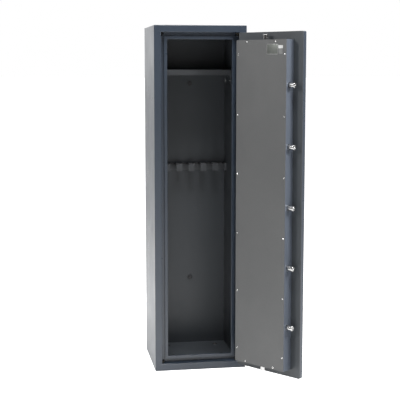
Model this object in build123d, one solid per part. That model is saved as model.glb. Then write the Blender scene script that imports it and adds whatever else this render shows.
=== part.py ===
from build123d import *
import math
import os

# Gun safe: double-walled, filled steel cabinet with one rebated door on external
# barrel hinges, five side bolts, one top and one bottom bolt thrown by a handle,
# and a key lock that blocks the boltwork.
# Frame: millimetres, +Z up, origin at the centre of the cabinet's underside,
# X across (door hinged at +X), Y through the depth (front plane at -Y).

# ---------------------------------------------------------------- dimensions
WIDTH = 400.0
DEPTH = 364.0
HEIGHT = 1500.0
SKIN = 3.0                 # outer sheet
LINING = 2.0               # inner sheet
WALL = 38.0                # outside to the inside face of the lining
BACK_WALL = 51.0
BORDER = 30.0              # width of the front border
REBATE = 30.0              # depth of the groove floor behind the front plane
LIP_DEPTH = 24.0           # depth of the bolt lip behind the front plane
GROOVE = 15.0              # width of the groove
LIP_INSET = 59.0           # outside to the inner edge of the bolt lip
LIP_TURN = 34.0            # depth where the lip's return ends
CORNER_VOID = (8.0, 47.0, 12.0, 60.0)   # hollow left in the filling behind each open corner

LEAF_GAP = 3.0
LEAF_T = 22.0
LEAF_CORNER = 6.0
OPEN_DEG = 128.8           # door opening at rest
HINGE_X = 179.0
HINGE_Y = -201.0
HINGE_Z = (170.0, 1330.0)
HINGE_R = 11.0
PIN_R = 6.0

COVER_FREE_X = -120.0      # boltwork cover, lock side
COVER_HINGE_X = 138.5
COVER_BACK_D = 72.0        # inner face of the liner, from the front plane
COVER_Z0 = 66.0
COVER_Z1 = 1434.0
COVER_T = 2.0
LINER_T = 1.5
FLANGE = 18.0

BOLT_R = 11.0
BOLT_D = 47.0              # bolt axis, from the front plane
BOLT_PITCH = 250.0
BOLT_Z = [250.0 + 250.0 * i for i in range(5)]
BOLT_TIP_X = -148.0
BOLT_ROOT_X = -100.0
THROW = 24.0               # travel of every locking bolt
ROD_X = 6.0                # centre line of the vertical rods and the spindle
SPINDLE_Z = 750.0
CRANK_R = 24.0
CRANK_HALF = 30.0          # half of the handle's turn, degrees
DRIVE_PIN_R = 4.0
SLOT_W = 8.6

KEY_X = -36.0
KEY_Z = 592.0
LOCK_THROW = 14.0

SHELF_Z = 1313.0
SHELF_FRONT_Y = -28.0
REST_Z0, REST_Z1 = 853.0, 886.0
REST_FRONT_Y = 73.0
NOTCH_PITCH = 55.4
NOTCH_Y = 101.0
NOTCH_R = 13.0
ANCHOR_R = 7.0
BASE_ANCHORS = [(sx * 110.0, sy * 80.0) for sx in (-1, 1) for sy in (-1, 1)]
BACK_ANCHOR_Z = (350.0, 1250.0)

HX = WIDTH / 2
FRONT = -DEPTH / 2
BACK = DEPTH / 2
LEAF_X = HX - BORDER - LEAF_GAP
LEAF_Z0 = BORDER + LEAF_GAP
LEAF_Z1 = HEIGHT - BORDER - LEAF_GAP
LEAF_IN = FRONT + LEAF_T
COVER_Y = FRONT + COVER_BACK_D
BOLT_Y = FRONT + BOLT_D


# ---------------------------------------------------------------- helpers
def bx(x0, x1, y0, y1, z0, z1):
    return Pos((x0 + x1) / 2, (y0 + y1) / 2, (z0 + z1) / 2) * Box(
        abs(x1 - x0), abs(y1 - y0), abs(z1 - z0)
    )


def cx(x0, x1, y, z, r):
    return Pos((x0 + x1) / 2, y, z) * Rot(0, 90, 0) * Cylinder(r, abs(x1 - x0))


def cy(x, y0, y1, z, r):
    return Pos(x, (y0 + y1) / 2, z) * Rot(90, 0, 0) * Cylinder(r, abs(y1 - y0))


def cz(x, y, z0, z1, r):
    return Pos(x, y, (z0 + z1) / 2) * Cylinder(r, abs(z1 - z0))


def prism(points, direction):
    return Solid.extrude(
        Face(Wire.make_polygon([Vector(*p) for p in points], close=True)),
        Vector(*direction),
    )


def hexagon(x, y, z, across, length):
    """Hexagonal nut blank along +X from x."""
    r = across / math.sqrt(3)
    pts = [
        (x, y + r * math.cos(math.radians(60 * i)), z + r * math.sin(math.radians(60 * i)))
        for i in range(6)
    ]
    return prism(pts, (length, 0, 0))


def near(value, target, tol=0.05):
    return abs(value - target) < tol


def edges_where(shape, test):
    return [e for e in shape.edges() if test(e)]


def rounded(shape, radius, test):
    return fillet(edges_where(shape, test), radius)


def group(items):
    solids = []
    for item in items:
        solids += list(item.solids())
    return solids[0] if len(solids) == 1 else Compound(children=solids)


HINGE = Pos(HINGE_X, HINGE_Y, 0) * Rot(0, 0, OPEN_DEG) * Pos(-HINGE_X, -HINGE_Y, 0)


def save(shape, node, on_door=False):
    if on_door:
        shape = HINGE * shape
    export_step(shape, "parts/" + node + ".step")


def span_x(e):
    b = e.bounding_box()
    return b.max.X - b.min.X


def span_y(e):
    b = e.bounding_box()
    return b.max.Y - b.min.Y


def span_z(e):
    b = e.bounding_box()
    return b.max.Z - b.min.Z


# ---------------------------------------------------------------- cabinet
# Outer casing: sides, top and the folded front border in one sheet.
casing = bx(-HX, HX, FRONT, BACK - SKIN, SKIN, HEIGHT)
casing = rounded(
    casing,
    3.0,
    lambda e: (near(e.center().Y, FRONT) and (span_z(e) > 1000 or near(e.center().Z, HEIGHT)))
    or (near(e.center().Z, HEIGHT) and span_y(e) > 200 and span_x(e) < 1),
)
casing -= bx(-HX + SKIN, HX - SKIN, FRONT + SKIN, BACK, 0, HEIGHT - SKIN)
mouth = bx(-HX + BORDER, HX - BORDER, FRONT - 5, FRONT + SKIN + 1, BORDER, HEIGHT - BORDER)
casing -= mouth
casing = rounded(
    casing,
    2.2,
    lambda e: near(e.center().Y, FRONT)
    and (
        (near(abs(e.center().X), HX - BORDER) and span_z(e) > 1000)
        or (near(e.center().Z, BORDER) and span_x(e) > 300)
        or (near(e.center().Z, HEIGHT - BORDER) and span_x(e) > 300)
    ),
)
save(casing, "outer_casing")

base = bx(-HX, HX, FRONT, BACK, 0, SKIN)
base = fillet([e for e in base.edges() if near(e.center().Z, 0)], 1.0)
back = bx(-HX, HX, BACK - SKIN, BACK, SKIN, HEIGHT)
back = fillet([e for e in back.edges() if near(e.center().Y, BACK)], 1.2)
for ax, ay in BASE_ANCHORS:
    base -= cz(ax, ay, -5, 10, ANCHOR_R)
for az in BACK_ANCHOR_Z:
    back -= cy(0, BACK - 10, BACK + 5, az, ANCHOR_R)
save(base, "base_plate")
save(back, "back_panel")

# Rebate frame: one folded section on all four sides, mitred at the corners.
# Section points are (distance from the outside face, depth from the front plane).
u0, u1 = BORDER - SKIN, BORDER
g1 = BORDER + GROOVE
section = [
    (u0, SKIN), (u1, SKIN), (u1, REBATE), (g1, REBATE), (g1, LIP_DEPTH),
    (LIP_INSET, LIP_DEPTH), (LIP_INSET, LIP_TURN), (LIP_INSET - SKIN, LIP_TURN),
    (LIP_INSET - SKIN, LIP_DEPTH + SKIN), (g1 + SKIN, LIP_DEPTH + SKIN),
    (g1 + SKIN, REBATE + SKIN), (u0, REBATE + SKIN),
]


def corner_boxes(u_a, u_b, d_a, d_b):
    """The same box at the four corners of the opening, from its distances to the outside faces."""
    out = []
    for sx in (-1, 1):
        for za, zb in ((u_a, u_b), (HEIGHT - u_b, HEIGHT - u_a)):
            xa, xb = sorted((sx * (HX - u_a), sx * (HX - u_b)))
            out.append(bx(xa, xb, FRONT + d_a, FRONT + d_b, za, zb))
    return out


def frame_member(side):
    if side in ("left", "right"):
        s = -1 if side == "left" else 1
        bar = prism([(s * (HX - u), FRONT + d, 0) for u, d in section], (0, 0, HEIGHT))
        wedge = prism(
            [(s * HX, FRONT - 5, 0), (s * (HX - 100), FRONT - 5, 100),
             (s * (HX - 100), FRONT - 5, HEIGHT - 100), (s * HX, FRONT - 5, HEIGHT)],
            (0, 60, 0),
        )
    else:
        zz = (lambda u: u) if side == "bottom" else (lambda u: HEIGHT - u)
        bar = prism([(-HX, FRONT + d, zz(u)) for u, d in section], (WIDTH, 0, 0))
        wedge = prism(
            [(-HX, FRONT - 5, zz(0)), (-HX + 100, FRONT - 5, zz(100)),
             (HX - 100, FRONT - 5, zz(100)), (HX, FRONT - 5, zz(0))],
            (0, 60, 0),
        )
    bar = bar & wedge
    # folded outer edges of the lip
    if side in ("left", "right"):
        xi, xo = s * (HX - LIP_INSET), s * (HX - g1)
        bar = rounded(bar, 1.5, lambda e: span_z(e) > 1000 and near(e.center().Y, FRONT + LIP_DEPTH)
                      and (near(e.center().X, xi) or near(e.center().X, xo)))
    else:
        zi, zo = zz(LIP_INSET), zz(g1)
        bar = rounded(bar, 1.5, lambda e: span_x(e) > 200 and near(e.center().Y, FRONT + LIP_DEPTH)
                      and (near(e.center().Z, zi) or near(e.center().Z, zo)))
    for void in corner_boxes(u0 - 1, g1 - 1.5, 19.0, REBATE + SKIN + 1):
        bar -= void
    return bar


for side in ("left", "right", "top", "bottom"):
    save(group([frame_member(side)]), "frame_" + side)

# Inner lining: welded sheet box, open at the front.
d_in = FRONT + REBATE + SKIN
in_x = HX - WALL
in_y = BACK - BACK_WALL
lining = bx(-in_x - LINING, in_x + LINING, d_in, in_y + LINING, WALL - LINING, HEIGHT - WALL + LINING)
lining -= bx(-in_x, in_x, d_in - 5, in_y, WALL, HEIGHT - WALL)
for ax, ay in BASE_ANCHORS:
    lining -= cz(ax, ay, 0, WALL + 5, ANCHOR_R)
for az in BACK_ANCHOR_Z:
    lining -= cy(0, in_y - 5, BACK, az, ANCHOR_R)
save(lining, "inner_lining")

# Fire-resistant filling boards between the two walls.
fx = in_x + LINING
slabs = [
    bx(-HX + SKIN, -fx, d_in, BACK - SKIN, SKIN, HEIGHT - SKIN),
    bx(fx, HX - SKIN, d_in, BACK - SKIN, SKIN, HEIGHT - SKIN),
    bx(-fx, fx, d_in, BACK - SKIN, HEIGHT - WALL + LINING, HEIGHT - SKIN),
]
floor_slab = bx(-fx, fx, d_in, BACK - SKIN, SKIN, WALL - LINING)
for ax, ay in BASE_ANCHORS:
    floor_slab -= cz(ax, ay, 0, WALL + 5, ANCHOR_R)
back_slab = bx(-fx, fx, in_y + LINING, BACK - SKIN, WALL - LINING, HEIGHT - WALL + LINING)
for az in BACK_ANCHOR_Z:
    back_slab -= cy(0, in_y - 5, BACK + 5, az, ANCHOR_R)
wall_boards = slabs + [floor_slab, back_slab]
ux = HX - BORDER + SKIN
strips = [
    bx(-HX + SKIN, -ux, FRONT + SKIN, d_in, SKIN, HEIGHT - SKIN),
    bx(ux, HX - SKIN, FRONT + SKIN, d_in, SKIN, HEIGHT - SKIN),
    bx(-ux, ux, FRONT + SKIN, d_in, HEIGHT - BORDER + SKIN, HEIGHT - SKIN),
    bx(-ux, ux, FRONT + SKIN, d_in, SKIN, BORDER - SKIN),
]
for void in corner_boxes(*CORNER_VOID):
    wall_boards = [board - void for board in wall_boards]
    strips = [strip - void for strip in strips]
save(group(wall_boards), "wall_filling")
save(group(strips), "frame_filling")

# Shelf: folded steel tray, lips down, on four screwed angle clips.
shelf = bx(-in_x + 1.5, in_x - 1.5, SHELF_FRONT_Y, in_y - 2, SHELF_Z - 25, SHELF_Z)
shelf = rounded(shelf, 2.0, lambda e: near(e.center().Y, SHELF_FRONT_Y) and near(e.center().Z, SHELF_Z))
shelf -= bx(-in_x + 3.5, in_x - 3.5, SHELF_FRONT_Y + 2, in_y - 4, SHELF_Z - 30, SHELF_Z - 2)
save(shelf, "shelf")
clips, screws = [], []
for s in (-1, 1):
    for yc in (-14.0, 100.0):
        a, b = sorted((s * in_x, s * (in_x - 2)))
        c, d = sorted((s * in_x, s * (in_x - 22)))
        clip = bx(a, b, yc - 11, yc + 11, SHELF_Z - 63, SHELF_Z - 25) + bx(
            c, d, yc - 11, yc + 11, SHELF_Z - 27, SHELF_Z - 25
        )
        hole = cx(s * in_x - 6, s * in_x + 6, yc, SHELF_Z - 48, 2.5)
        clips.append(clip - hole)
        head = cx(s * (in_x - 2), s * (in_x - 5), yc, SHELF_Z - 48, 5.0)
        head = fillet([e for e in head.edges() if near(abs(e.center().X), in_x - 5)], 1.6)
        screws.append(head + cx(s * (in_x - 2), s * in_x, yc, SHELF_Z - 48, 2.45))
save(group(clips), "shelf_clips")
save(group(screws), "shelf_screws")

# Barrel rest: folded steel ledge on the back wall, with six notches edged in plastic.
REST_T = 2.0
ledge = bx(-in_x + 1, in_x - 1, REST_FRONT_Y, in_y, REST_Z0, REST_Z1)
ledge = rounded(ledge, 2.0, lambda e: near(e.center().Y, REST_FRONT_Y) and near(e.center().Z, REST_Z1))
ledge -= bx(-in_x, in_x, REST_FRONT_Y + REST_T, in_y - REST_T, REST_Z0 - 5, REST_Z1 - REST_T)
NOTCH_X = [(i - 2.5) * NOTCH_PITCH for i in range(6)]


def notch(x, r, y0, z0, z1):
    return cz(x, NOTCH_Y, z0, z1, r) + bx(x - r, x + r, y0, NOTCH_Y, z0, z1)


liners = []
for nx in NOTCH_X:
    ledge -= notch(nx, NOTCH_R + 1.5, REST_FRONT_Y - 5, REST_Z0 - 5, REST_Z1 + 5)
    edge = notch(nx, NOTCH_R + 4.0, REST_FRONT_Y + 3, REST_Z1 - REST_T - 2, REST_Z1 + 2)
    edge = fillet([e for e in edge.edges() if near(e.center().Z, REST_Z1 + 2)], 1.2)
    edge -= notch(nx, NOTCH_R, REST_FRONT_Y - 5, REST_Z1 - 15, REST_Z1 + 5)
    keep = notch(nx, NOTCH_R + 1.5, REST_FRONT_Y + 3, REST_Z1 - 15, REST_Z1 + 5)
    slot_cut = bx(nx - 30, nx + 30, REST_FRONT_Y, in_y, REST_Z1 - REST_T, REST_Z1) - keep
    liners.append(edge - slot_cut)
save(ledge, "barrel_rest")
save(group(liners), "notch_liners")

caps = []
for ax, ay in BASE_ANCHORS:
    cap = cz(ax, ay, WALL, WALL + 2.5, 11.0)
    cap = fillet([e for e in cap.edges() if near(e.center().Z, WALL + 2.5)], 1.2)
    caps.append(cap + cz(ax, ay, WALL - 12, WALL, ANCHOR_R - 0.2))
for az in BACK_ANCHOR_Z:
    cap = cy(0, in_y - 2.5, in_y, az, 11.0)
    cap = fillet([e for e in cap.edges() if near(e.center().Y, in_y - 2.5)], 1.2)
    caps.append(cap + cy(0, in_y, in_y + 12, az, ANCHOR_R - 0.2))
save(group(caps), "anchor_caps")

# Hinges: lift-off barrel hinges on the front border.
frame_leaves, door_leaves, pins, washers = [], [], [], []
for z in HINGE_Z:
    low_barrel = cz(HINGE_X, HINGE_Y, z - 45, z - 1, HINGE_R)
    low_barrel = fillet([e for e in low_barrel.edges() if near(e.center().Z, z - 45)], 1.6)
    low = bx(HX - BORDER, HX - 2, FRONT - 6, FRONT, z - 45, z - 1)
    low = fillet([e for e in low.edges() if near(e.center().Y, FRONT - 6)], 1.2)
    low += bx(HINGE_X - 5, HINGE_X + 7, HINGE_Y, FRONT - 6, z - 43, z - 1) + low_barrel
    low -= cz(HINGE_X, HINGE_Y, z - 41, z + 5, PIN_R)
    frame_leaves.append(low)
    up_barrel = cz(HINGE_X, HINGE_Y, z + 1, z + 45, HINGE_R)
    up_barrel = fillet([e for e in up_barrel.edges() if near(e.center().Z, z + 45)], 1.6)
    up = bx(LEAF_X - 52, LEAF_X, FRONT - 6, FRONT, z + 1, z + 45)
    up = fillet([e for e in up.edges() if near(e.center().Y, FRONT - 6)], 1.2)
    up += bx(LEAF_X - 21, HINGE_X, HINGE_Y, FRONT - 5, z + 1, z + 43) + up_barrel
    up -= cz(HINGE_X, HINGE_Y, z - 5, z + 39, PIN_R + 0.08)
    door_leaves.append(up)
    pin = cz(HINGE_X, HINGE_Y, z - 41, z + 36, PIN_R)
    pin = fillet([e for e in pin.edges() if near(e.center().Z, z + 36)], 2.0)
    pins.append(pin)
    washers.append(cz(HINGE_X, HINGE_Y, z - 1, z + 0.9, HINGE_R) - cz(HINGE_X, HINGE_Y, z - 3, z + 3, PIN_R + 0.05))
save(group(frame_leaves), "hinge_frame_leaves")
save(group(pins), "hinge_pins")
save(group(washers), "hinge_washers")
save(group(door_leaves), "hinge_door_leaves", True)

# ---------------------------------------------------------------- door (drawn closed, then opened)
leaf = bx(-LEAF_X, LEAF_X, FRONT, LEAF_IN, LEAF_Z0, LEAF_Z1)
leaf = rounded(leaf, LEAF_CORNER, lambda e: span_y(e) > 20 and span_x(e) < 1 and span_z(e) < 1)
leaf_edge = leaf
leaf = fillet([e for e in leaf.edges() if near(e.center().Y, FRONT)], 2.5)
pan = leaf - bx(-LEAF_X + 3, LEAF_X - 3, FRONT + 4, LEAF_IN + 5, LEAF_Z0 + 3, LEAF_Z1 - 3)
pan -= bx(-LEAF_X - 5, LEAF_X + 5, LEAF_IN - 3, LEAF_IN + 5, LEAF_Z0 - 5, LEAF_Z1 + 5)
inner_plate = leaf_edge & bx(-LEAF_X - 5, LEAF_X + 5, LEAF_IN - 3, LEAF_IN, LEAF_Z0 - 5, LEAF_Z1 + 5)
inner_plate = fillet([e for e in inner_plate.edges() if near(e.center().Y, LEAF_IN)], 1.2)
filling = bx(-LEAF_X + 3, LEAF_X - 3, FRONT + 4, LEAF_IN - 3, LEAF_Z0 + 3, LEAF_Z1 - 3)
SPINDLE_HOLE_R = 10.0
for r, x, z in ((SPINDLE_HOLE_R, ROD_X, SPINDLE_Z), (9.0, KEY_X, KEY_Z)):
    hole = cy(x, FRONT - 10, LEAF_IN + 5, z, r)
    pan, inner_plate, filling = pan - hole, inner_plate - hole, filling - hole
save(pan, "door_front_pan", True)
save(inner_plate, "door_inner_plate", True)
save(filling, "door_filling", True)

# Boltwork cover: folded sheet box with an inward flange, closed by the liner sheet.
c0, c1, face = COVER_FREE_X, COVER_HINGE_X, COVER_Y - LINER_T
cover = bx(c0, c1, LEAF_IN, face, COVER_Z0, COVER_Z1)
cover = rounded(cover, 1.5, lambda e: near(e.center().Y, face) and (span_z(e) > 1000 or span_x(e) > 200))
cover -= bx(c0 + COVER_T, c1 - COVER_T, LEAF_IN - 5, face - COVER_T, COVER_Z0 + COVER_T, COVER_Z1 - COVER_T)
cover -= bx(c0 + FLANGE, c1 - FLANGE, LEAF_IN, face + 5, COVER_Z0 + FLANGE, COVER_Z1 - FLANGE)
for z in BOLT_Z:
    cover -= cx(c0 - 5, c0 + 5, BOLT_Y, z, BOLT_R + 1.6)
for z in (COVER_Z0, COVER_Z1):
    cover -= cz(ROD_X, BOLT_Y, z - 5, z + 5, BOLT_R + 1.6)
liner = bx(c0, c1, face, COVER_Y, COVER_Z0, COVER_Z1)
rivet_at = [(c1 - 7.5, 125.0 + BOLT_PITCH * i) for i in range(6)]
rivet_at += [(c0 + 7.5, 125.0 + BOLT_PITCH * i) for i in range(6)]
rivet_at += [(c1 - 55.0, COVER_Z0 + 7.5), (c0 + 55.0, COVER_Z0 + 7.5),
             (c1 - 55.0, COVER_Z1 - 7.5), (c0 + 55.0, COVER_Z1 - 7.5)]
rivets = []
for x, z in rivet_at:
    drill = cy(x, face - 10, COVER_Y + 5, z, 2.0)
    cover -= drill
    liner -= drill
    head = cy(x, COVER_Y, COVER_Y + 1.8, z, 4.2)
    head = fillet([e for e in head.edges() if near(e.center().Y, COVER_Y + 1.8)], 1.3)
    rivets.append(head + cy(x, face - COVER_T - 3, COVER_Y, z, 2.0))
save(cover, "boltwork_cover", True)
save(liner, "door_liner", True)
save(group(rivets), "liner_rivets", True)

PLATE = (-78.0, -22.0, 1374.0, 1416.0)
LABEL = (-103.0, -80.0, 1397.5, 1410.0)
save(bx(PLATE[0], PLATE[1], COVER_Y, COVER_Y + 0.8, PLATE[2], PLATE[3]), "rating_plate", True)
FILM = (-101.5, -81.5, 1375.5, 1395.5)
save(
    group([
        bx(LABEL[0], LABEL[1], COVER_Y, COVER_Y + 0.3, LABEL[2], LABEL[3]),
        bx(FILM[0], FILM[1], COVER_Y, COVER_Y + 0.3, FILM[2], FILM[3]),
    ]),
    "rating_label", True,
)

# Guide rail behind the lock side of the cover, with five bored guides.
rail = bx(-110, -104, LEAF_IN, BOLT_Y + 19, 200, 1300)
for z in BOLT_Z:
    rail -= cx(-115, -100, BOLT_Y, z, BOLT_R + 0.08)
save(rail, "bolt_guide_rail", True)

# Side bolts on one vertical bar.
BAR_X0, BAR_X1 = BOLT_ROOT_X, BOLT_ROOT_X + 6
bolts, nuts = [], []
bar = bx(BAR_X0, BAR_X1, BOLT_Y - 15, BOLT_Y + 15, 222, 1278)
for z in BOLT_Z:
    b = cx(BOLT_TIP_X, BOLT_ROOT_X, BOLT_Y, z, BOLT_R)
    b = chamfer([e for e in b.edges() if near(e.center().X, BOLT_TIP_X)], 1.2)
    b += cx(BOLT_ROOT_X, BAR_X1 + 10, BOLT_Y, z, 5.0)
    bolts.append(b)
    bar -= cx(BAR_X0 - 5, BAR_X1 + 5, BOLT_Y, z, 5.0)
    nuts.append(hexagon(BAR_X1, BOLT_Y, z, 17.0, 8.0) - cx(BAR_X1 - 5, BAR_X1 + 15, BOLT_Y, z, 5.0))
save(group(bolts), "side_bolts", True)
save(bar, "bolt_bar", True)
save(group(nuts), "bolt_nuts", True)

# Layers of the linkage, measured from the inner plate.
DISC_Y0, DISC_Y1 = LEAF_IN + 11, LEAF_IN + 17
ROD_Y0, ROD_Y1 = LEAF_IN + 18, LEAF_IN + 23
LINK_Y0, LINK_Y1 = LEAF_IN + 24, LEAF_IN + 29


def crank(deg):
    a = math.radians(deg)
    return ROD_X + CRANK_R * math.cos(a), SPINDLE_Z + CRANK_R * math.sin(a)


top_pin = crank(90 + CRANK_HALF)
right_pin = crank(CRANK_HALF)
left_pin = crank(180 + CRANK_HALF)
rise = CRANK_R * (1 - math.cos(math.radians(CRANK_HALF)))

# Drive plate from the bolt bar to the disc, with an upright slot for the top pin.
plate = bx(BAR_X1, top_pin[0] + 12, LINK_Y0, LINK_Y1, 762.5, 786)
plate -= bx(top_pin[0] - SLOT_W / 2, top_pin[0] + SLOT_W / 2, LINK_Y0 - 5, LINK_Y1 + 5,
            top_pin[1] - 5, top_pin[1] + rise + 5)
save(plate, "drive_plate", True)
finger = bx(BAR_X1, KEY_X - 7, LEAF_IN + 10, LEAF_IN + 16, 652, 662) + bx(
    KEY_X - 15, KEY_X - 7, LEAF_IN + 10, LEAF_IN + 16, 636, 652
)
save(finger, "blocking_finger", True)

# Drive disc with three crank pins, spindle and handle.
disc = cy(ROD_X, DISC_Y0, DISC_Y1, SPINDLE_Z, 32.0) - cy(ROD_X, DISC_Y0 - 5, DISC_Y1 + 5, SPINDLE_Z, 6.0)
disc += cy(top_pin[0], DISC_Y1, LINK_Y1 + 1, top_pin[1], DRIVE_PIN_R)
disc += cy(right_pin[0], DISC_Y1, ROD_Y1 + 0.6, right_pin[1], DRIVE_PIN_R)
disc += cy(left_pin[0], DISC_Y1, ROD_Y1 + 0.6, left_pin[1], DRIVE_PIN_R)
save(disc, "drive_disc", True)
spindle = cy(ROD_X, FRONT - 26, DISC_Y1 + 2, SPINDLE_Z, 6.0)
save(spindle, "spindle", True)
bush = cy(ROD_X, FRONT - 1, LEAF_IN + 4, SPINDLE_Z, SPINDLE_HOLE_R) + cy(ROD_X, LEAF_IN, LEAF_IN + 4, SPINDLE_Z, 15.0)
bush -= cy(ROD_X, FRONT - 10, LEAF_IN + 10, SPINDLE_Z, 6.06)
save(bush, "spindle_bush", True)
rose = cy(ROD_X, FRONT - 8, FRONT, SPINDLE_Z, 28.0)
rose = fillet([e for e in rose.edges() if near(e.center().Y, FRONT - 8)], 3.0)
rose -= cy(ROD_X, FRONT - 20, FRONT + 5, SPINDLE_Z, SPINDLE_HOLE_R + 0.1)
save(rose, "handle_rose", True)
hub = cy(ROD_X, FRONT - 34, FRONT - 9, SPINDLE_Z, 15.0)
hub = fillet([e for e in hub.edges() if near(e.center().Y, FRONT - 34)], 4.0)
# Arm turned about its own axis: a waist beside the hub, a swell in the grip and a full round end.
ARM_Y = FRONT - 25
with BuildSketch(Plane.XZ) as arm_half:
    with BuildLine():
        Spline(
            (0, 7.2), (-24, 6.4), (-62, 8.2), (-100, 8.4), (-112, 0),
            tangents=[(-1, 0), (0, -1)],
        )
        Polyline((-112, 0), (0, 0), (0, 7.2))
    make_face()
arm = Pos(ROD_X, ARM_Y, SPINDLE_Z) * revolve(arm_half.sketch, Axis.X)
lever = hub + arm
lever = lever - cy(ROD_X, FRONT - 26, FRONT, SPINDLE_Z, 6.0)
save(lever, "handle_lever", True)


# Vertical rods with a cranked foot each, and their round bolts.
def rod(sign, pin):
    """sign +1 goes up from the right pin, -1 goes down from the left pin."""
    fx0 = ROD_X + sign * 12
    fx1 = ROD_X + sign * 33
    lx0 = ROD_X + sign * 19
    za = SPINDLE_Z + sign * 2
    zb = SPINDLE_Z + sign * 22
    zc = SPINDLE_Z + sign * 100
    zd = SPINDLE_Z + sign * 120
    end = SPINDLE_Z + sign * 640
    xs = sorted((fx0, fx1))
    foot = bx(xs[0], xs[1], ROD_Y0, ROD_Y1, *sorted((za, zb)))
    xs = sorted((lx0, fx1))
    leg = bx(xs[0], xs[1], ROD_Y0, ROD_Y1, *sorted((zb, zd)))
    xs = sorted((ROD_X - sign * 10, fx1))
    cross = bx(xs[0], xs[1], ROD_Y0, ROD_Y1, *sorted((zc, zd)))
    shaft = bx(ROD_X - 10, ROD_X + 10, ROD_Y0, ROD_Y1, *sorted((zd, end)))
    body = foot + leg + cross + shaft
    reach = CRANK_R * (1 - math.cos(math.radians(CRANK_HALF)))
    xa, xb = sorted((pin[0] - sign * 5, pin[0] + sign * (reach + 5)))
    body -= bx(xa, xb, ROD_Y0 - 5, ROD_Y1 + 5, pin[1] - SLOT_W / 2, pin[1] + SLOT_W / 2)
    return body


save(rod(1, right_pin), "top_rod", True)
save(rod(-1, left_pin), "bottom_rod", True)
for name, root, tip in (("top_bolt", 1390.0, 1457.0), ("bottom_bolt", 110.0, 43.0)):
    b = cz(ROD_X, BOLT_Y, min(root, tip), max(root, tip), BOLT_R)
    b = chamfer([e for e in b.edges() if near(e.center().Z, tip)], 1.2)
    save(b, name, True)
guides = []
for z in (1000.0, 1280.0, 500.0, 220.0):
    g = bx(ROD_X - 16, ROD_X + 16, LEAF_IN, ROD_Y1 + 4, z - 6, z + 6)
    g -= bx(ROD_X - 10.2, ROD_X + 10.2, ROD_Y0 - 0.2, ROD_Y1 + 0.2, z - 10, z + 10)
    guides.append(g)
save(group(guides), "rod_guides", True)
save(
    group([
        bx(ROD_X - 20, ROD_X + 20, LEAF_IN, BOLT_Y + 18, z - 4, z + 4)
        - cz(ROD_X, BOLT_Y, z - 10, z + 10, BOLT_R + 0.08)
        for z in (1414.0, 86.0)
    ]),
    "end_bolt_guides", True,
)

# Key lock: case, cover, bolt, curtain, hard plate; escutcheon and swing cover outside.
hard = bx(KEY_X - 32, KEY_X + 30, LEAF_IN, LEAF_IN + 4, KEY_Z - 36, KEY_Z + 38) - cy(KEY_X, LEAF_IN - 5, LEAF_IN + 10, KEY_Z, 9.0)
save(hard, "hard_plate", True)
LY0, LY1 = LEAF_IN + 4, LEAF_IN + 26
lx0, lx1, lz0, lz1 = KEY_X - 30, KEY_X + 29, KEY_Z - 34, KEY_Z + 34
case = bx(lx0, lx1, LY0, LY1 - 2, lz0, lz1) - bx(lx0 + 3, lx1 - 3, LY0 + 3, LY1 + 5, lz0 + 3, lz1 - 3)
case -= cy(KEY_X, LY0 - 5, LY0 + 8, KEY_Z, 8.1)
LB0, LB1 = KEY_X - 4, KEY_X + 6
case -= bx(LB0 - 0.3, LB1 + 0.3, LEAF_IN + 8.7, LEAF_IN + 20.3, lz1 - 5, lz1 + 5)
posts = [(lx0 + 6, lz0 + 6), (lx1 - 6, lz0 + 6), (lx0 + 6, lz1 - 6), (lx1 - 6, lz1 - 6)]
cover_plate = bx(lx0, lx1, LY1 - 2, LY1, lz0, lz1) - cy(KEY_X, LY1 - 5, LY1 + 5, KEY_Z, 8.1)
lock_screws = []
for x, z in posts:
    case += cy(x, LY0 + 3, LY1 - 2, z, 4.0)
for x, z in posts:
    case -= cy(x, LY0 - 1, LY1 - 2, z, 2.0)
    cover_plate -= cy(x, LY1 - 5, LY1 + 5, z, 2.0)
    head = cy(x, LY1, LY1 + 2.5, z, 3.6)
    head = fillet([e for e in head.edges() if near(e.center().Y, LY1 + 2.5)], 1.0)
    lock_screws.append(head + cy(x, LY0, LY1, z, 2.0))
save(case, "lock_case", True)
save(cover_plate, "lock_cover", True)
save(group(lock_screws), "lock_screws", True)
save(bx(LB0, LB1, LEAF_IN + 9, LEAF_IN + 20, KEY_Z + 12, KEY_Z + 36), "lock_bolt", True)
curtain = cy(KEY_X, FRONT - 1, LY1 - 0.2, KEY_Z, 8.0)
curtain -= bx(KEY_X - 1.6, KEY_X + 1.6, FRONT - 5, LEAF_IN, KEY_Z - 6, KEY_Z + 6)
save(curtain, "key_curtain", True)
esc = cy(KEY_X, FRONT - 4, FRONT, KEY_Z, 19.0)
esc = fillet([e for e in esc.edges() if near(e.center().Y, FRONT - 4)], 1.5)
esc -= cy(KEY_X, FRONT - 10, FRONT + 5, KEY_Z, 9.0)
pivot = (KEY_X, KEY_Z + 14.0)
esc += cy(pivot[0], FRONT - 8.2, FRONT - 4, pivot[1], 2.5)
save(esc, "key_escutcheon", True)
swing = cy(KEY_X, FRONT - 6.6, FRONT - 4.2, KEY_Z, 12.0) + cy(pivot[0], FRONT - 6.6, FRONT - 4.2, pivot[1], 6.0)
swing -= cy(pivot[0], FRONT - 10, FRONT, pivot[1], 2.56)
save(swing, "key_cover", True)
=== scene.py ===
import bpy
import bmesh
import math
from mathutils import Matrix, Vector


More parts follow.
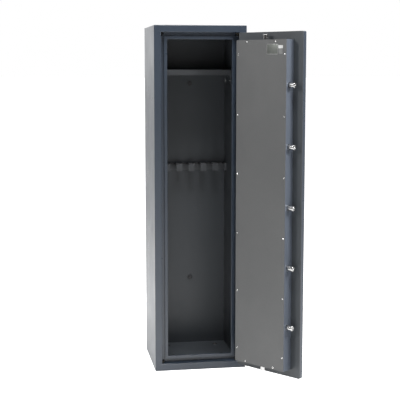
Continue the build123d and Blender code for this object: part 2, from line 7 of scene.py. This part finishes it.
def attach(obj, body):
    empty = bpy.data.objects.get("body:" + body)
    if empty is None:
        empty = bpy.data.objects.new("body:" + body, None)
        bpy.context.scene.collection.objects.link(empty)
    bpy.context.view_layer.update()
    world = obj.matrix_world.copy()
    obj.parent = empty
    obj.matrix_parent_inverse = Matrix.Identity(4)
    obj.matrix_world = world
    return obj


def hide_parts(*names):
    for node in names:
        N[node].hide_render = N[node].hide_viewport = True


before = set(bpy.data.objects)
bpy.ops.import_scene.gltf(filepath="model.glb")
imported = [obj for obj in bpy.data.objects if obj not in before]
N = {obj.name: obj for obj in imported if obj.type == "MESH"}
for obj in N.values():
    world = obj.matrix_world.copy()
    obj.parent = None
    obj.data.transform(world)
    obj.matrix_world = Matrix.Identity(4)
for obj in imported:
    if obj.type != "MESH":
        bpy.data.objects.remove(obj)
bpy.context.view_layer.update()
scene = bpy.context.scene
scene.view_settings.view_transform = "Standard"
scene.view_settings.look = "None"

# ------------------------------------------------------------------ dimensions shared with the CAD frame, metres
HINGE = Vector((0.179, -0.201, 0.0))
OPEN = math.radians(128.8)
DOOR = Matrix.Translation(HINGE) @ Matrix.Rotation(OPEN, 4, "Z") @ Matrix.Translation(-HINGE)
HERE = Matrix.Identity(4)
FRONT, LEAF_IN, LINER_Y = -0.182, -0.160, -0.110
BOLT_Y, BOLT_R = -0.135, 0.011
ROD_X, SPINDLE_Z = 0.006, 0.750
KEY_X, KEY_Z = -0.036, 0.592
LEAF_X = 0.167
IN_X, IN_Y, WALL = 0.162, 0.131, 0.038


# ------------------------------------------------------------------ camera
def make_camera():
    data = bpy.data.cameras.new("camera")
    cam = bpy.data.objects.new("camera", data)
    scene.collection.objects.link(cam)
    yaw, pitch = math.radians(9.3539), math.radians(6.678)
    data.sensor_width = 36.0
    data.lens = 996.69 * 36.0 / 400.0
    data.shift_y = -0.035
    data.clip_start, data.clip_end = 0.05, 400.0
    cam.location = (-0.69775, -4.39880, 1.31380)
    cam.rotation_mode = "XYZ"
    cam.rotation_euler = (math.pi / 2 - pitch, 0.0, -yaw)
    scene.camera = cam


make_camera()


# ------------------------------------------------------------------ materials
class Mat:
    """A small builder for a procedural material on object coordinates (metres)."""

    def __init__(self, name):
        self.m = bpy.data.materials.new(name)
        self.m.use_nodes = True
        self.t = self.m.node_tree
        self.t.nodes.clear()
        self.out = self.t.nodes.new("ShaderNodeOutputMaterial")
        self.b = self.t.nodes.new("ShaderNodeBsdfPrincipled")
        self.t.links.new(self.b.outputs[0], self.out.inputs[0])
        self.co = self.t.nodes.new("ShaderNodeTexCoord").outputs["Object"]

    def put(self, socket, value):
        if hasattr(value, "is_output"):
            self.t.links.new(value, self.b.inputs[socket])
        else:
            self.b.inputs[socket].default_value = value
        return self

    def mapped(self, scale=(1, 1, 1), rot=(0, 0, 0)):
        n = self.t.nodes.new("ShaderNodeMapping")
        n.inputs["Scale"].default_value = scale
        n.inputs["Rotation"].default_value = rot
        self.t.links.new(self.co, n.inputs["Vector"])
        return n.outputs[0]

    def noise(self, scale, detail=2.0, rough=0.5, vec=None):
        n = self.t.nodes.new("ShaderNodeTexNoise")
        n.inputs["Scale"].default_value = scale
        n.inputs["Detail"].default_value = detail
        n.inputs["Roughness"].default_value = rough
        self.t.links.new(vec if vec is not None else self.co, n.inputs["Vector"])
        return n.outputs["Fac"]

    def voronoi(self, scale, vec=None):
        n = self.t.nodes.new("ShaderNodeTexVoronoi")
        n.inputs["Scale"].default_value = scale
        self.t.links.new(vec if vec is not None else self.co, n.inputs["Vector"])
        return n.outputs["Distance"]

    def height(self):
        n = self.t.nodes.new("ShaderNodeSeparateXYZ")
        self.t.links.new(self.co, n.inputs[0])
        return n.outputs[2]

    def ramp(self, fac, stops):
        n = self.t.nodes.new("ShaderNodeValToRGB")
        e = n.color_ramp.elements
        while len(e) > 1:
            e.remove(e[-1])
        for i, (p, c) in enumerate(stops):
            el = e[0] if i == 0 else e.new(p)
            el.position = p
            el.color = (*c, 1.0)
        self.t.links.new(fac, n.inputs["Fac"])
        return n.outputs["Color"]

    def remap(self, fac, a, b, lo=0.0, hi=1.0):
        n = self.t.nodes.new("ShaderNodeMapRange")
        n.inputs["From Min"].default_value = lo
        n.inputs["From Max"].default_value = hi
        n.inputs["To Min"].default_value = a
        n.inputs["To Max"].default_value = b
        self.t.links.new(fac, n.inputs["Value"])
        return n.outputs["Result"]

    def math(self, op, a, b):
        n = self.t.nodes.new("ShaderNodeMath")
        n.operation = op
        for i, v in enumerate((a, b)):
            if hasattr(v, "is_output"):
                self.t.links.new(v, n.inputs[i])
            else:
                n.inputs[i].default_value = v
        return n.outputs[0]

    def bump(self, height, distance, strength=1.0):
        n = self.t.nodes.new("ShaderNodeBump")
        n.inputs["Distance"].default_value = distance
        n.inputs["Strength"].default_value = strength
        self.t.links.new(height, n.inputs["Height"])
        self.t.links.new(n.outputs[0], self.b.inputs["Normal"])
        return self


def shade(c, k):
    return tuple(min(1.0, x * k) for x in c)


def powder(name, base, rough=0.36, grain=0.00002, var=0.05, spec=0.5):
    """Powder coat: fine orange peel, faint cloudiness in colour and gloss."""
    m = Mat(name)
    m.put("Specular IOR Level", spec)
    cloud = m.noise(5.0, 3.0, 0.55)
    fine = m.noise(1400.0, 2.0, 0.6)
    both = m.math("ADD", m.math("MULTIPLY", cloud, 0.7), m.math("MULTIPLY", fine, 0.3))
    m.put("Base Color", m.ramp(both, [(0.3, shade(base, 1 - var)), (0.7, shade(base, 1 + var))]))
    m.put("Roughness", m.remap(m.noise(9.0, 3.0, 0.6), rough - 0.03, rough + 0.03, 0.3, 0.7))
    peel = m.math("ADD", m.noise(520.0, 2.0, 0.5), m.math("MULTIPLY", m.voronoi(1100.0), 0.3))
    m.bump(peel, grain, 0.5)
    return m.m


mat_paint = powder("graphite_powder_coat", (0.023, 0.032, 0.047), 0.30, spec=0.7)
# painted light: the boltwork cover uses the graphite coat made lighter, standing in for the side light that brightens
# the cover's side face
mat_cover_painted_light = powder("cover_coat_painted_light", (0.078, 0.091, 0.115), 0.38)
mat_inside = powder("interior_powder_coat", (0.037, 0.042, 0.048), 0.40)
mat_shelf = powder("shelf_powder_coat", (0.060, 0.064, 0.070), 0.42)
mat_leaf = powder("leaf_inner_powder_coat", (0.034, 0.039, 0.044), 0.42)


def liner_material():
    """Coated sheet with a fine woven emboss, slightly uneven in tone."""
    m = Mat("liner_fine_grain_sheet")
    cloud = m.noise(4.0, 3.0, 0.6)
    cells = m.voronoi(700.0)
    up = m.noise(900.0, 1.0, 0.5, m.mapped((1, 1, 0.12)))
    across = m.noise(900.0, 1.0, 0.5, m.mapped((0.12, 0.12, 1)))
    weave = m.math("ADD", m.math("MULTIPLY", up, 0.5), m.math("MULTIPLY", across, 0.5))
    mix = m.math("ADD", m.math("MULTIPLY", cloud, 0.45), m.math("MULTIPLY", weave, 0.55))
    m.put("Base Color", m.ramp(mix, [(0.30, (0.049, 0.050, 0.051)), (0.70, (0.067, 0.068, 0.068))]))
    m.put("Specular IOR Level", 0.7)
    m.put("Roughness", m.remap(m.noise(18.0, 4.0, 0.65), 0.40, 0.50, 0.3, 0.7))
    m.bump(m.math("ADD", weave, m.math("MULTIPLY", cells, 0.35)), 0.00012, 0.6)
    return m.m


mat_liner = liner_material()


def plated(name, base, rough, brushed=(1, 1, 1), depth=0.00002):
    m = Mat(name)
    m.put("Metallic", 1.0)
    m.put("Base Color", m.ramp(m.noise(30.0, 3.0, 0.6), [(0.3, shade(base, 0.92)), (0.7, shade(base, 1.05))]))
    streak = m.noise(240.0, 3.0, 0.6, m.mapped(brushed))
    m.put("Roughness", m.remap(streak, rough * 0.8, rough * 1.3, 0.25, 0.75))
    m.bump(m.math("ADD", streak, m.noise(1200.0, 2.0)), depth, 0.5)
    return m.m


mat_bright = plated("bright_nickel", (0.50, 0.50, 0.495), 0.17)
mat_zinc = plated("zinc_plated_steel", (0.58, 0.59, 0.57), 0.36, (1, 1, 9))
mat_satin = plated("satin_chrome", (0.68, 0.68, 0.68), 0.24, (9, 1, 9))
mat_brass = plated("turned_brass", (0.72, 0.52, 0.24), 0.28)
mat_plate = plated("blank_anodised_plate", (0.130, 0.137, 0.128), 0.50, (12, 12, 1))
mat_weld = powder("painted_weld_bead", (0.023, 0.032, 0.047), 0.34, 0.0001, spec=0.7)


def board_material():
    m = Mat("mineral_fire_board")
    m.put("Base Color", m.ramp(m.noise(80.0, 5.0, 0.7), [(0.3, (0.42, 0.40, 0.36)), (0.7, (0.60, 0.58, 0.53))]))
    m.put("Roughness", 0.92)
    m.bump(m.noise(700.0, 4.0, 0.7), 0.0004, 0.7)
    return m.m


def plastic(name, base, rough):
    m = Mat(name)
    m.put("Base Color", m.ramp(m.noise(120.0, 2.0), [(0.3, shade(base, 0.88)), (0.7, shade(base, 1.12))]))
    m.put("Roughness", m.remap(m.noise(40.0, 3.0), rough - 0.05, rough + 0.07, 0.3, 0.7))
    m.bump(m.noise(1600.0, 2.0), 0.00004, 0.5)
    return m.m


mat_board = board_material()
mat_cap = plastic("moulded_black_plastic", (0.022, 0.022, 0.024), 0.48)
mat_label = plastic("blank_white_film", (0.45, 0.455, 0.45), 0.38)
mat_rim = plated("bare_plate_rim", (0.30, 0.305, 0.30), 0.45, (12, 12, 1))
mat_film = plastic("blank_grey_film", (0.135, 0.137, 0.136), 0.42)

ASSIGN = {
    mat_paint: ["outer_casing", "base_plate", "back_panel", "frame_left", "frame_right", "frame_top", "frame_bottom",
                "hinge_frame_leaves", "hinge_door_leaves", "door_front_pan"],
    mat_cover_painted_light: ["boltwork_cover"],
    mat_leaf: ["door_inner_plate"],
    mat_inside: ["inner_lining"],
    mat_shelf: ["shelf", "shelf_clips", "barrel_rest"],
    mat_board: ["wall_filling", "frame_filling", "door_filling"],
    mat_cap: ["anchor_caps", "notch_liners"],
    mat_bright: ["side_bolts", "top_bolt", "bottom_bolt", "hinge_pins", "shelf_screws", "liner_rivets"],
    mat_liner: ["door_liner"],
    mat_zinc: ["bolt_bar", "bolt_nuts", "drive_plate", "blocking_finger", "bolt_guide_rail", "rod_guides",
               "end_bolt_guides", "drive_disc", "top_rod", "bottom_rod", "lock_cover", "lock_screws", "lock_bolt",
               "spindle", "hard_plate", "lock_case"],
    mat_brass: ["hinge_washers", "spindle_bush", "key_curtain"],
    mat_satin: ["handle_lever", "handle_rose", "key_escutcheon", "key_cover"],
    mat_plate: ["rating_plate"],
    mat_label: ["rating_label"],
}
for mat, names in ASSIGN.items():
    for n in names:
        o = N[n]
        if not o.material_slots:
            o.data.materials.append(mat)
        for s in o.material_slots:
            s.material = mat


# ------------------------------------------------------------------ mesh building
def arc_corners(points, steps=4):
    """(r, h) or (r, h, radius) points; a corner with a radius becomes an arc of steps + 1 points."""
    out = []
    for i, p in enumerate(points):
        if len(p) == 2 or i in (0, len(points) - 1):
            out.append((p[0], p[1]))
            continue
        b = Vector((p[0], p[1]))
        a = Vector(points[i - 1][:2])
        c = Vector(points[i + 1][:2])
        da, dc = (a - b), (c - b)
        half = da.angle(dc) / 2
        t = min(p[2] / math.tan(half), 0.48 * da.length, 0.48 * dc.length)
        r = t * math.tan(half)
        centre = b + (da.normalized() + dc.normalized()).normalized() * (r / math.sin(half))
        s, e = b + da.normalized() * t - centre, b + dc.normalized() * t - centre
        turn = s.angle_signed(e)
        for k in range(steps + 1):
            q = centre + Matrix.Rotation(-turn * k / steps, 2) @ s
            out.append((q.x, q.y))
    return out


class Shell:
    """Collects closed forms in one mesh."""

    def __init__(self):
        self.v, self.f = [], []

    def add(self, verts, faces):
        n = len(self.v)
        self.v += [tuple(p) for p in verts]
        self.f += [tuple(i + n for i in f) for f in faces]
        return self

    def lathe(self, profile, origin, axis, seg=48, ring=False):
        axis = Vector(axis).normalized()
        ref = Vector((0, 0, 1)) if abs(axis.z) < 0.9 else Vector((1, 0, 0))
        u = axis.cross(ref).normalized()
        w = axis.cross(u)
        verts, rings = [], []
        for r, h in profile:
            c = Vector(origin) + axis * h
            if r < 1e-7:
                rings.append([len(verts)])
                verts.append(c)
            else:
                rings.append(list(range(len(verts), len(verts) + seg)))
                verts += [c + u * (r * math.cos(2 * math.pi * i / seg)) + w * (r * math.sin(2 * math.pi * i / seg))
                          for i in range(seg)]
        faces = []
        for a, b in zip(rings, rings[1:] + ([rings[0]] if ring else [])):
            for i in range(seg):
                j = (i + 1) % seg
                if len(a) == 1:
                    faces.append((a[0], b[i], b[j]))
                elif len(b) == 1:
                    faces.append((a[i], b[0], a[j]))
                else:
                    faces.append((a[i], b[i], b[j], a[j]))
        return self.add(verts, faces)

    def box(self, lo, hi, bevel, seg=3):
        bm = bmesh.new()
        bmesh.ops.create_cube(bm, size=1.0)
        lo, hi = Vector(lo), Vector(hi)
        for v in bm.verts:
            v.co = Vector(((lo[i] + hi[i]) / 2 + v.co[i] * (hi[i] - lo[i]) for i in range(3)))
        if bevel:
            bmesh.ops.bevel(bm, geom=bm.edges[:], offset=bevel, segments=seg, profile=0.5, affect="EDGES")
        bm.verts.index_update()
        self.add([v.co[:] for v in bm.verts], [[v.index for v in f.verts] for f in bm.faces])
        bm.free()
        return self

    def bead(self, start, end, radius, ripple=0.004, depth=0.16, side=12):
        """A weld bead: a tube whose thickness ripples along it, with rounded ends."""
        s, e = Vector(start), Vector(end)
        d = e - s
        t = d.normalized()
        ref = Vector((0, 1, 0)) if abs(t.y) < 0.9 else Vector((1, 0, 0))
        u = t.cross(ref).normalized()
        w = t.cross(u)
        n = max(12, int(d.length / ripple * 6))
        verts, faces = [s - t * radius * 0.6], []
        rings = []
        for i in range(n + 1):
            x = i / n
            phase = (x * d.length / ripple) % 1.0
            r = radius * (1 - depth * phase * phase)
            edge = min(x, 1 - x) * d.length
            if edge < radius:
                r *= math.sqrt(max(0.08, 1 - (1 - edge / radius) ** 2))
            c = s + d * x
            rings.append(list(range(len(verts), len(verts) + side)))
            verts += [c + u * (r * math.cos(2 * math.pi * k / side)) + w * (r * math.sin(2 * math.pi * k / side))
                      for k in range(side)]
        last = len(verts)
        verts.append(e + t * radius * 0.6)
        for k in range(side):
            faces.append((0, rings[0][k], rings[0][(k + 1) % side]))
            faces.append((last, rings[-1][(k + 1) % side], rings[-1][k]))
        for a, b in zip(rings, rings[1:]):
            for k in range(side):
                m = (k + 1) % side
                faces.append((a[k], b[k], b[m], a[m]))
        return self.add(verts, faces)

    def make(self, name, mat, body, place=HERE, stands_for=(), slot=None, sharp=32.0):
        mesh = bpy.data.meshes.new(name)
        mesh.from_pydata(self.v, [], self.f)
        bm = bmesh.new()
        bm.from_mesh(mesh)
        bmesh.ops.recalc_face_normals(bm, faces=bm.faces[:])
        bm.to_mesh(mesh)
        bm.free()
        mesh.shade_smooth()
        mesh.set_sharp_from_angle(angle=math.radians(sharp))
        mesh.materials.append(mat)
        obj = bpy.data.objects.new(name, mesh)
        scene.collection.objects.link(obj)
        obj.matrix_world = place
        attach(obj, body)
        if stands_for:
            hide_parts(*stands_for)
        return obj


def cut(obj, cutter):
    """Takes the cutter's volume out of obj, and removes the cutter."""
    mod = obj.modifiers.new("cut", "BOOLEAN")
    mod.operation, mod.solver, mod.object = "DIFFERENCE", "EXACT", cutter
    bpy.context.view_layer.update()
    mesh = bpy.data.meshes.new_from_object(obj.evaluated_get(bpy.context.evaluated_depsgraph_get()))
    obj.modifiers.clear()
    obj.data = mesh
    bpy.data.objects.remove(cutter)


# ------------------------------------------------------------------ locking bolts
def bolt_profile(length):
    return arc_corners([
        (0.0, 0.0), (BOLT_R, 0.0), (BOLT_R, length - 0.0016, 0.0009), (BOLT_R - 0.0014, length, 0.0006),
        (0.0074, length), (0.0071, length - 0.00022), (0.0067, length - 0.00022), (0.0064, length),
        (0.0027, length, 0.0004), (0.0016, length - 0.0012), (0.0, length - 0.0017),
    ])


bolts = Shell()
for i in range(5):
    z = 0.250 + 0.250 * i
    bolts.lathe(bolt_profile(0.048), (-0.100, BOLT_Y, z), (-1, 0, 0), 64)
    bolts.lathe([(0.0, -0.0155), (0.0046, -0.0155), (0.005, -0.015), (0.005, 0.0)], (-0.100, BOLT_Y, z), (-1, 0, 0), 32)
bolts.make("side_bolt_pins", mat_bright, "side_boltwork", DOOR, ["side_bolts"], "bright_steel")
Shell().lathe(bolt_profile(0.067), (ROD_X, BOLT_Y, 1.390), (0, 0, 1), 64).make(
    "top_bolt_pin", mat_bright, "top_boltwork", DOOR, ["top_bolt"], "bright_steel")
Shell().lathe(bolt_profile(0.067), (ROD_X, BOLT_Y, 0.110), (0, 0, -1), 64).make(
    "bottom_bolt_pin", mat_bright, "bottom_boltwork", DOOR, ["bottom_bolt"], "bright_steel")

# ------------------------------------------------------------------ blind rivets on the liner
rivet = arc_corners([
    (0.0, -0.0004), (0.0040, -0.0004), (0.0042, 0.0003, 0.0002), (0.0036, 0.0012, 0.0010), (0.0022, 0.0017, 0.0010),
    (0.0014, 0.0018, 0.0002), (0.0012, 0.0013), (0.0011, 0.0008), (0.0009, 0.0010, 0.0001), (0.0, 0.00125),
])
spots = [(x, 0.125 + 0.250 * i) for x in (0.131, -0.1125) for i in range(6)]
spots += [(x, z) for x in (0.0835, -0.065) for z in (0.0735, 1.4265)]
heads = Shell()
for x, z in spots:
    heads.lathe(rivet, (x, LINER_Y, z), (0, 1, 0), 32)
heads.make("blind_rivet_heads", mat_bright, "door", DOOR, ["liner_rivets"], "bright_steel")

# ------------------------------------------------------------------ blank plate and films
P = (-0.078, -0.022, 1.374, 1.416)
plate = Shell().box((P[0], LINER_Y - 0.0002, P[2]), (P[1], LINER_Y + 0.0006, P[3]), 0.00018, 2)
rim = Shell()
for x0, x1, z0, z1 in ((P[0], P[1], P[3] - 0.0016, P[3]), (P[0], P[1], P[2], P[2] + 0.0016),
                       (P[0], P[0] + 0.0016, P[2], P[3]), (P[1] - 0.0016, P[1], P[2], P[3])):
    rim.box((x0, LINER_Y, z0), (x1, LINER_Y + 0.0009, z1), 0.0003, 3)
for x in (P[0] + 0.0045, P[1] - 0.0045):
    for z in (P[2] + 0.0045, P[3] - 0.0045):
        plate.lathe(arc_corners([(0, 0), (0.0014, 0), (0.0014, 0.0006, 0.0002), (0.0009, 0.0009, 0.0004), (0, 0.001)]),
                    (x, LINER_Y, z), (0, 1, 0), 20)
plate.make("blank_rating_plate", mat_plate, "door", DOOR, ["rating_plate"], "plate_metal")
rim.make("rating_plate_rim", mat_rim, "door", DOOR, (), "plate_metal")


def film(name, x0, x1, z0, z1, mat, stands_for=()):
    """A thin film with rounded corners."""
    r, n, pts = 0.0016, 6, []
    for cx, cz, a0 in ((x1 - r, z1 - r, 0), (x0 + r, z1 - r, 90), (x0 + r, z0 + r, 180), (x1 - r, z0 + r, 270)):
        for k in range(n + 1):
            a = math.radians(a0 + 90 * k / n)
            pts.append((cx + r * math.cos(a), cz + r * math.sin(a)))
    m = len(pts)
    s = Shell()
    s.add([(x, LINER_Y - 0.0001, z) for x, z in pts] + [(x, LINER_Y + 0.0003, z) for x, z in pts],
          [tuple(range(m)), tuple(range(2 * m - 1, m - 1, -1))] + [(i, (i + 1) % m, m + (i + 1) % m, m + i) for i in range(m)])
    s.make(name, mat, "door", DOOR, stands_for, "label_film")


film("blank_white_label", -0.103, -0.080, 1.3975, 1.410, mat_label, ["rating_label"])
film("blank_grey_label", -0.1015, -0.0815, 1.3755, 1.3955, mat_film)

# ------------------------------------------------------------------ outside furniture: rose, escutcheon, key cover
rose = arc_corners([
    (0.0101, 0.0), (0.0280, 0.0), (0.0280, 0.0045, 0.0025), (0.0252, 0.0078, 0.002), (0.0190, 0.0080, 0.0004),
    (0.0186, 0.0074), (0.0176, 0.0074), (0.0172, 0.0080, 0.0004), (0.0106, 0.0080, 0.0004), (0.0101, 0.0075),
])
Shell().lathe(rose, (ROD_X, FRONT, SPINDLE_Z), (0, -1, 0), 96, ring=True).make(
    "handle_backplate", mat_satin, "door", DOOR, ["handle_rose"], "chrome_trim")
collar = arc_corners([(0.0063, 0.0), (0.0122, 0.0), (0.0126, 0.0005, 0.0003), (0.0122, 0.0010), (0.0063, 0.0010)])
Shell().lathe(collar, (ROD_X, FRONT - 0.0081, SPINDLE_Z), (0, -1, 0), 64, ring=True).make(
    "handle_washer", mat_brass, "handle", DOOR, (), "brass")
screw = arc_corners([(0.0, 0.0), (0.0020, 0.0), (0.0020, 0.0009, 0.0003), (0.0012, 0.0009), (0.0011, 0.0002), (0.0, 0.0002)])
Shell().lathe(screw, (ROD_X, FRONT - 0.026, SPINDLE_Z - 0.0146), (0, 0, -1), 24).make(
    "handle_set_screw", mat_zinc, "handle", DOOR, (), "zinc_steel")

esc = Shell()
esc.lathe(arc_corners([
    (0.0090, 0.0), (0.0190, 0.0), (0.0190, 0.0024, 0.0012), (0.0172, 0.0040, 0.0012), (0.0152, 0.0040, 0.0002),
    (0.0149, 0.0036), (0.0143, 0.0036), (0.0140, 0.0040, 0.0002), (0.0100, 0.0040, 0.0006), (0.0090, 0.0031),
]), (KEY_X, FRONT, KEY_Z), (0, -1, 0), 96, ring=True)
esc.lathe(arc_corners([
    (0.0, 0.0030), (0.0025, 0.0030), (0.0025, 0.0067), (0.0034, 0.0067, 0.0002), (0.0032, 0.0076, 0.0008), (0.0, 0.0082),
]), (KEY_X, FRONT, KEY_Z + 0.014), (0, -1, 0), 32)
esc.make("keyhole_escutcheon", mat_satin, "door", DOOR, ["key_escutcheon"], "chrome_trim")


def cover_reach(a):
    """Distance from the pivot to the outline of the swing cover, towards angle a."""
    lo, hi = 0.0, 0.05
    for _ in range(26):
        mid = (lo + hi) / 2
        x, z = mid * math.cos(a), mid * math.sin(a)
        inside = any(math.hypot(x, z + 0.014 * s / 40) <= 0.006 + 0.006 * s / 40 for s in range(41))
        lo, hi = (mid, hi) if inside else (lo, mid)
    return lo


def key_cover():
    seg = 96
    reach = [cover_reach(2 * math.pi * i / seg) for i in range(seg)]
    rings, verts = [], []
    steps = [("hole", 0.0042), ("hole", 0.0064), ("hole+", 0.0066), (0.45, 0.0066), (-0.0016, 0.0066), (-0.0007, 0.0063),
             (-0.0002, 0.0058), (0.0, 0.0052), (0.0, 0.0046), (-0.0004, 0.0042)]
    for kind, h in steps:
        ids = []
        for i in range(seg):
            a = 2 * math.pi * i / seg
            if kind == "hole":
                r = 0.00256
            elif kind == "hole+":
                r = 0.0028
            elif kind == 0.45:
                r = 0.0028 + 0.45 * (reach[i] - 0.0016 - 0.0028)
            else:
                r = reach[i] + kind
            ids.append(len(verts))
            verts.append((KEY_X + r * math.cos(a), FRONT - h, KEY_Z + 0.014 + r * math.sin(a)))
        rings.append(ids)
    faces = []
    for a, b in zip(rings, rings[1:] + rings[:1]):
        for i in range(seg):
            j = (i + 1) % seg
            faces.append((a[i], b[i], b[j], a[j]))
    s = Shell().add(verts, faces)
    s.lathe(arc_corners([(0, 0.0060), (0.0034, 0.0060), (0.0034, 0.0069, 0.0003), (0.0026, 0.0072, 0.0005), (0, 0.0070)]),
            (KEY_X, FRONT, KEY_Z - 0.005), (0, -1, 0), 32)
    s.make("keyhole_swing_cover", mat_satin, "key_cover", DOOR, ["key_cover"], "chrome_trim")


key_cover()

# ------------------------------------------------------------------ hinge welds
frame_welds, door_welds = Shell(), Shell()
for z in (0.170, 1.330):
    frame_welds.bead((0.1735, FRONT, z - 0.045), (0.1965, FRONT, z - 0.045), 0.0026)
    door_welds.bead((LEAF_X - 0.052, FRONT, z + 0.003), (LEAF_X - 0.052, FRONT, z + 0.043), 0.0026)
    door_welds.bead((LEAF_X - 0.050, FRONT, z + 0.045), (LEAF_X - 0.004, FRONT, z + 0.045), 0.0026)
frame_welds.make("hinge_welds_frame", mat_weld, "cabinet", HERE, (), "graphite_paint", 60)
door_welds.make("hinge_welds_door", mat_weld, "door", DOOR, (), "graphite_paint", 60)

# ------------------------------------------------------------------ anchor caps
cap = arc_corners([
    (0.0, -0.012), (0.0064, -0.012), (0.0068, -0.0005), (0.0068, 0.0), (0.0110, 0.0), (0.0110, 0.0012, 0.0006),
    (0.0098, 0.0024, 0.001), (0.0066, 0.0025, 0.0003), (0.0060, 0.0019, 0.0003), (0.0, 0.0017),
])
caps = Shell()
for x in (-0.110, 0.110):
    for y in (-0.080, 0.080):
        caps.lathe(cap, (x, y, WALL), (0, 0, 1), 48)
for z in (0.350, 1.250):
    caps.lathe(cap, (0, IN_Y, z), (0, -1, 0), 48)
caps.make("anchor_hole_plugs", mat_cap, "cabinet", HERE, ["anchor_caps"], "cap_plastic")

# ------------------------------------------------------------------ shelf screws with a cross recess
for side in (-1, 1):
    for k, y in enumerate((-0.014, 0.100)):
        name = "shelf_screw_%s_%d" % ("right" if side > 0 else "left", k + 1)
        origin = (side * (IN_X - 0.002), y, 1.265)
        s = Shell().lathe(arc_corners([
            (0.0, -0.002), (0.00245, -0.002), (0.00245, 0.0), (0.0050, 0.0), (0.0050, 0.0012, 0.0006),
            (0.0034, 0.0028, 0.0014), (0.0, 0.0030),
        ]), origin, (-side, 0, 0), 48)
        head = s.make(name, mat_bright, "cabinet", HERE, ["shelf_screws"], "bright_steel")
        c = Shell()
        x0, x1 = sorted((side * (IN_X - 0.0035), side * (IN_X - 0.0060)))
        c.box((x0, y - 0.0026, 1.265 - 0.0005), (x1, y + 0.0026, 1.265 + 0.0005), 0.0)
        c2 = Shell().box((x0 - 0.00001, y - 0.0005, 1.265 - 0.0026), (x1 + 0.00001, y + 0.0005, 1.265 + 0.0026), 0.0)
        for tool in (c, c2):
            mesh = bpy.data.meshes.new("tool")
            mesh.from_pydata(tool.v, [], tool.f)
            t = bpy.data.objects.new("tool", mesh)
            scene.collection.objects.link(t)
            cut(head, t)
        head.data.shade_smooth()
        head.data.set_sharp_from_angle(angle=math.radians(32))


# ------------------------------------------------------------------ stage and light
def make_stage():
    mesh = bpy.data.meshes.new("floor")
    s = 150.0
    mesh.from_pydata([(-s, -s, 0), (s, -s, 0), (s, s, 0), (-s, s, 0)], [], [(0, 1, 2, 3)])
    floor = bpy.data.objects.new("floor", mesh)
    floor.location.z = -0.0005
    scene.collection.objects.link(floor)
    m = Mat("pale_floor")
    m.put("Base Color", m.ramp(m.noise(0.8, 2.0), [(0.3, (0.90, 0.90, 0.90)), (0.7, (0.92, 0.92, 0.92))]))
    m.put("Roughness", 0.9)
    ray = m.t.nodes.new("ShaderNodeLightPath").outputs["Is Camera Ray"]
    m.put("Emission Color", (1, 1, 1, 1))
    sep = m.t.nodes.new("ShaderNodeSeparateXYZ")
    m.t.links.new(m.co, sep.inputs[0])
    # painted light: for all rays the floor glows behind the cabinet and in a pool in front of its base. This stands in
    # for a lit floor that throws light and reflections onto the cabinet. Camera rays also see at least an even white
    # glow.
    painted_glow_behind = m.remap(sep.outputs[1], 0.15, 0.34, -0.2, 0.6)
    away = m.t.nodes.new("ShaderNodeVectorMath")
    away.operation = "DISTANCE"
    away.inputs[1].default_value = (-0.1, -0.75, 0.0)
    m.t.links.new(m.co, away.inputs[0])
    painted_glow_pool = m.remap(away.outputs["Value"], 0.5, 0.0, 0.15, 1.0)
    room = m.math("MAXIMUM", painted_glow_behind, painted_glow_pool)
    m.put("Emission Strength", m.math("MAXIMUM", m.math("MULTIPLY", ray, 0.8), room))
    mesh.materials.append(m.m)

    world = bpy.data.worlds.new("studio")
    scene.world = world
    world.use_nodes = True
    t = world.node_tree
    t.nodes.clear()
    out = t.nodes.new("ShaderNodeOutputWorld")
    mix = t.nodes.new("ShaderNodeMixShader")
    path = t.nodes.new("ShaderNodeLightPath")
    seen = t.nodes.new("ShaderNodeBackground")
    seen.inputs[0].default_value = (1, 1, 1, 1)
    seen.inputs[1].default_value = 1.0
    room = t.nodes.new("ShaderNodeBackground")
    room.inputs[0].default_value = (1.0, 1.0, 1.0, 1)
    co = t.nodes.new("ShaderNodeTexCoord")
    sep = t.nodes.new("ShaderNodeSeparateXYZ")
    t.links.new(co.outputs["Generated"], sep.inputs[0])
    depth = t.nodes.new("ShaderNodeMapRange")
    depth.interpolation_type = "SMOOTHSTEP"
    depth.inputs["From Min"].default_value = WORLD_Y0
    depth.inputs["From Max"].default_value = WORLD_Y1
    depth.inputs["To Min"].default_value = WORLD_FRONT
    depth.inputs["To Max"].default_value = WORLD_BACK
    t.links.new(sep.outputs[1], depth.inputs["Value"])
    t.links.new(depth.outputs["Result"], room.inputs[1])
    t.links.new(path.outputs["Is Camera Ray"], mix.inputs[0])
    t.links.new(room.outputs[0], mix.inputs[1])
    t.links.new(seen.outputs[0], mix.inputs[2])
    t.links.new(mix.outputs[0], out.inputs[0])

    def area(name, where, at, size, power, size_y=None):
        data = bpy.data.lights.new(name, "AREA")
        data.shape = "RECTANGLE"
        data.size, data.size_y = size, size_y or size
        data.energy = power
        o = bpy.data.objects.new(name, data)
        o.location = where
        o.rotation_euler = (Vector(at) - Vector(where)).to_track_quat("-Z", "Y").to_euler()
        scene.collection.objects.link(o)
        o.visible_camera = False
        return o

    for args in LIGHTS:
        area(*args)


WORLD_Y0, WORLD_Y1, WORLD_FRONT, WORLD_BACK = -0.3, 0.9, 0.05, 1.18
LIGHTS = [
    ("key", (-3.4, -1.35, 2.9), (0.2, -0.3, 0.9), 0.6, 80),
    ("overhead", (0.0, -2.2, 6.0), (0.1, -0.6, 0.0), 2.0, 370),
    ("side", (1.75, -1.4, 2.3), (0.33, -0.45, 1.35), 0.6, 58),
]
make_stage()
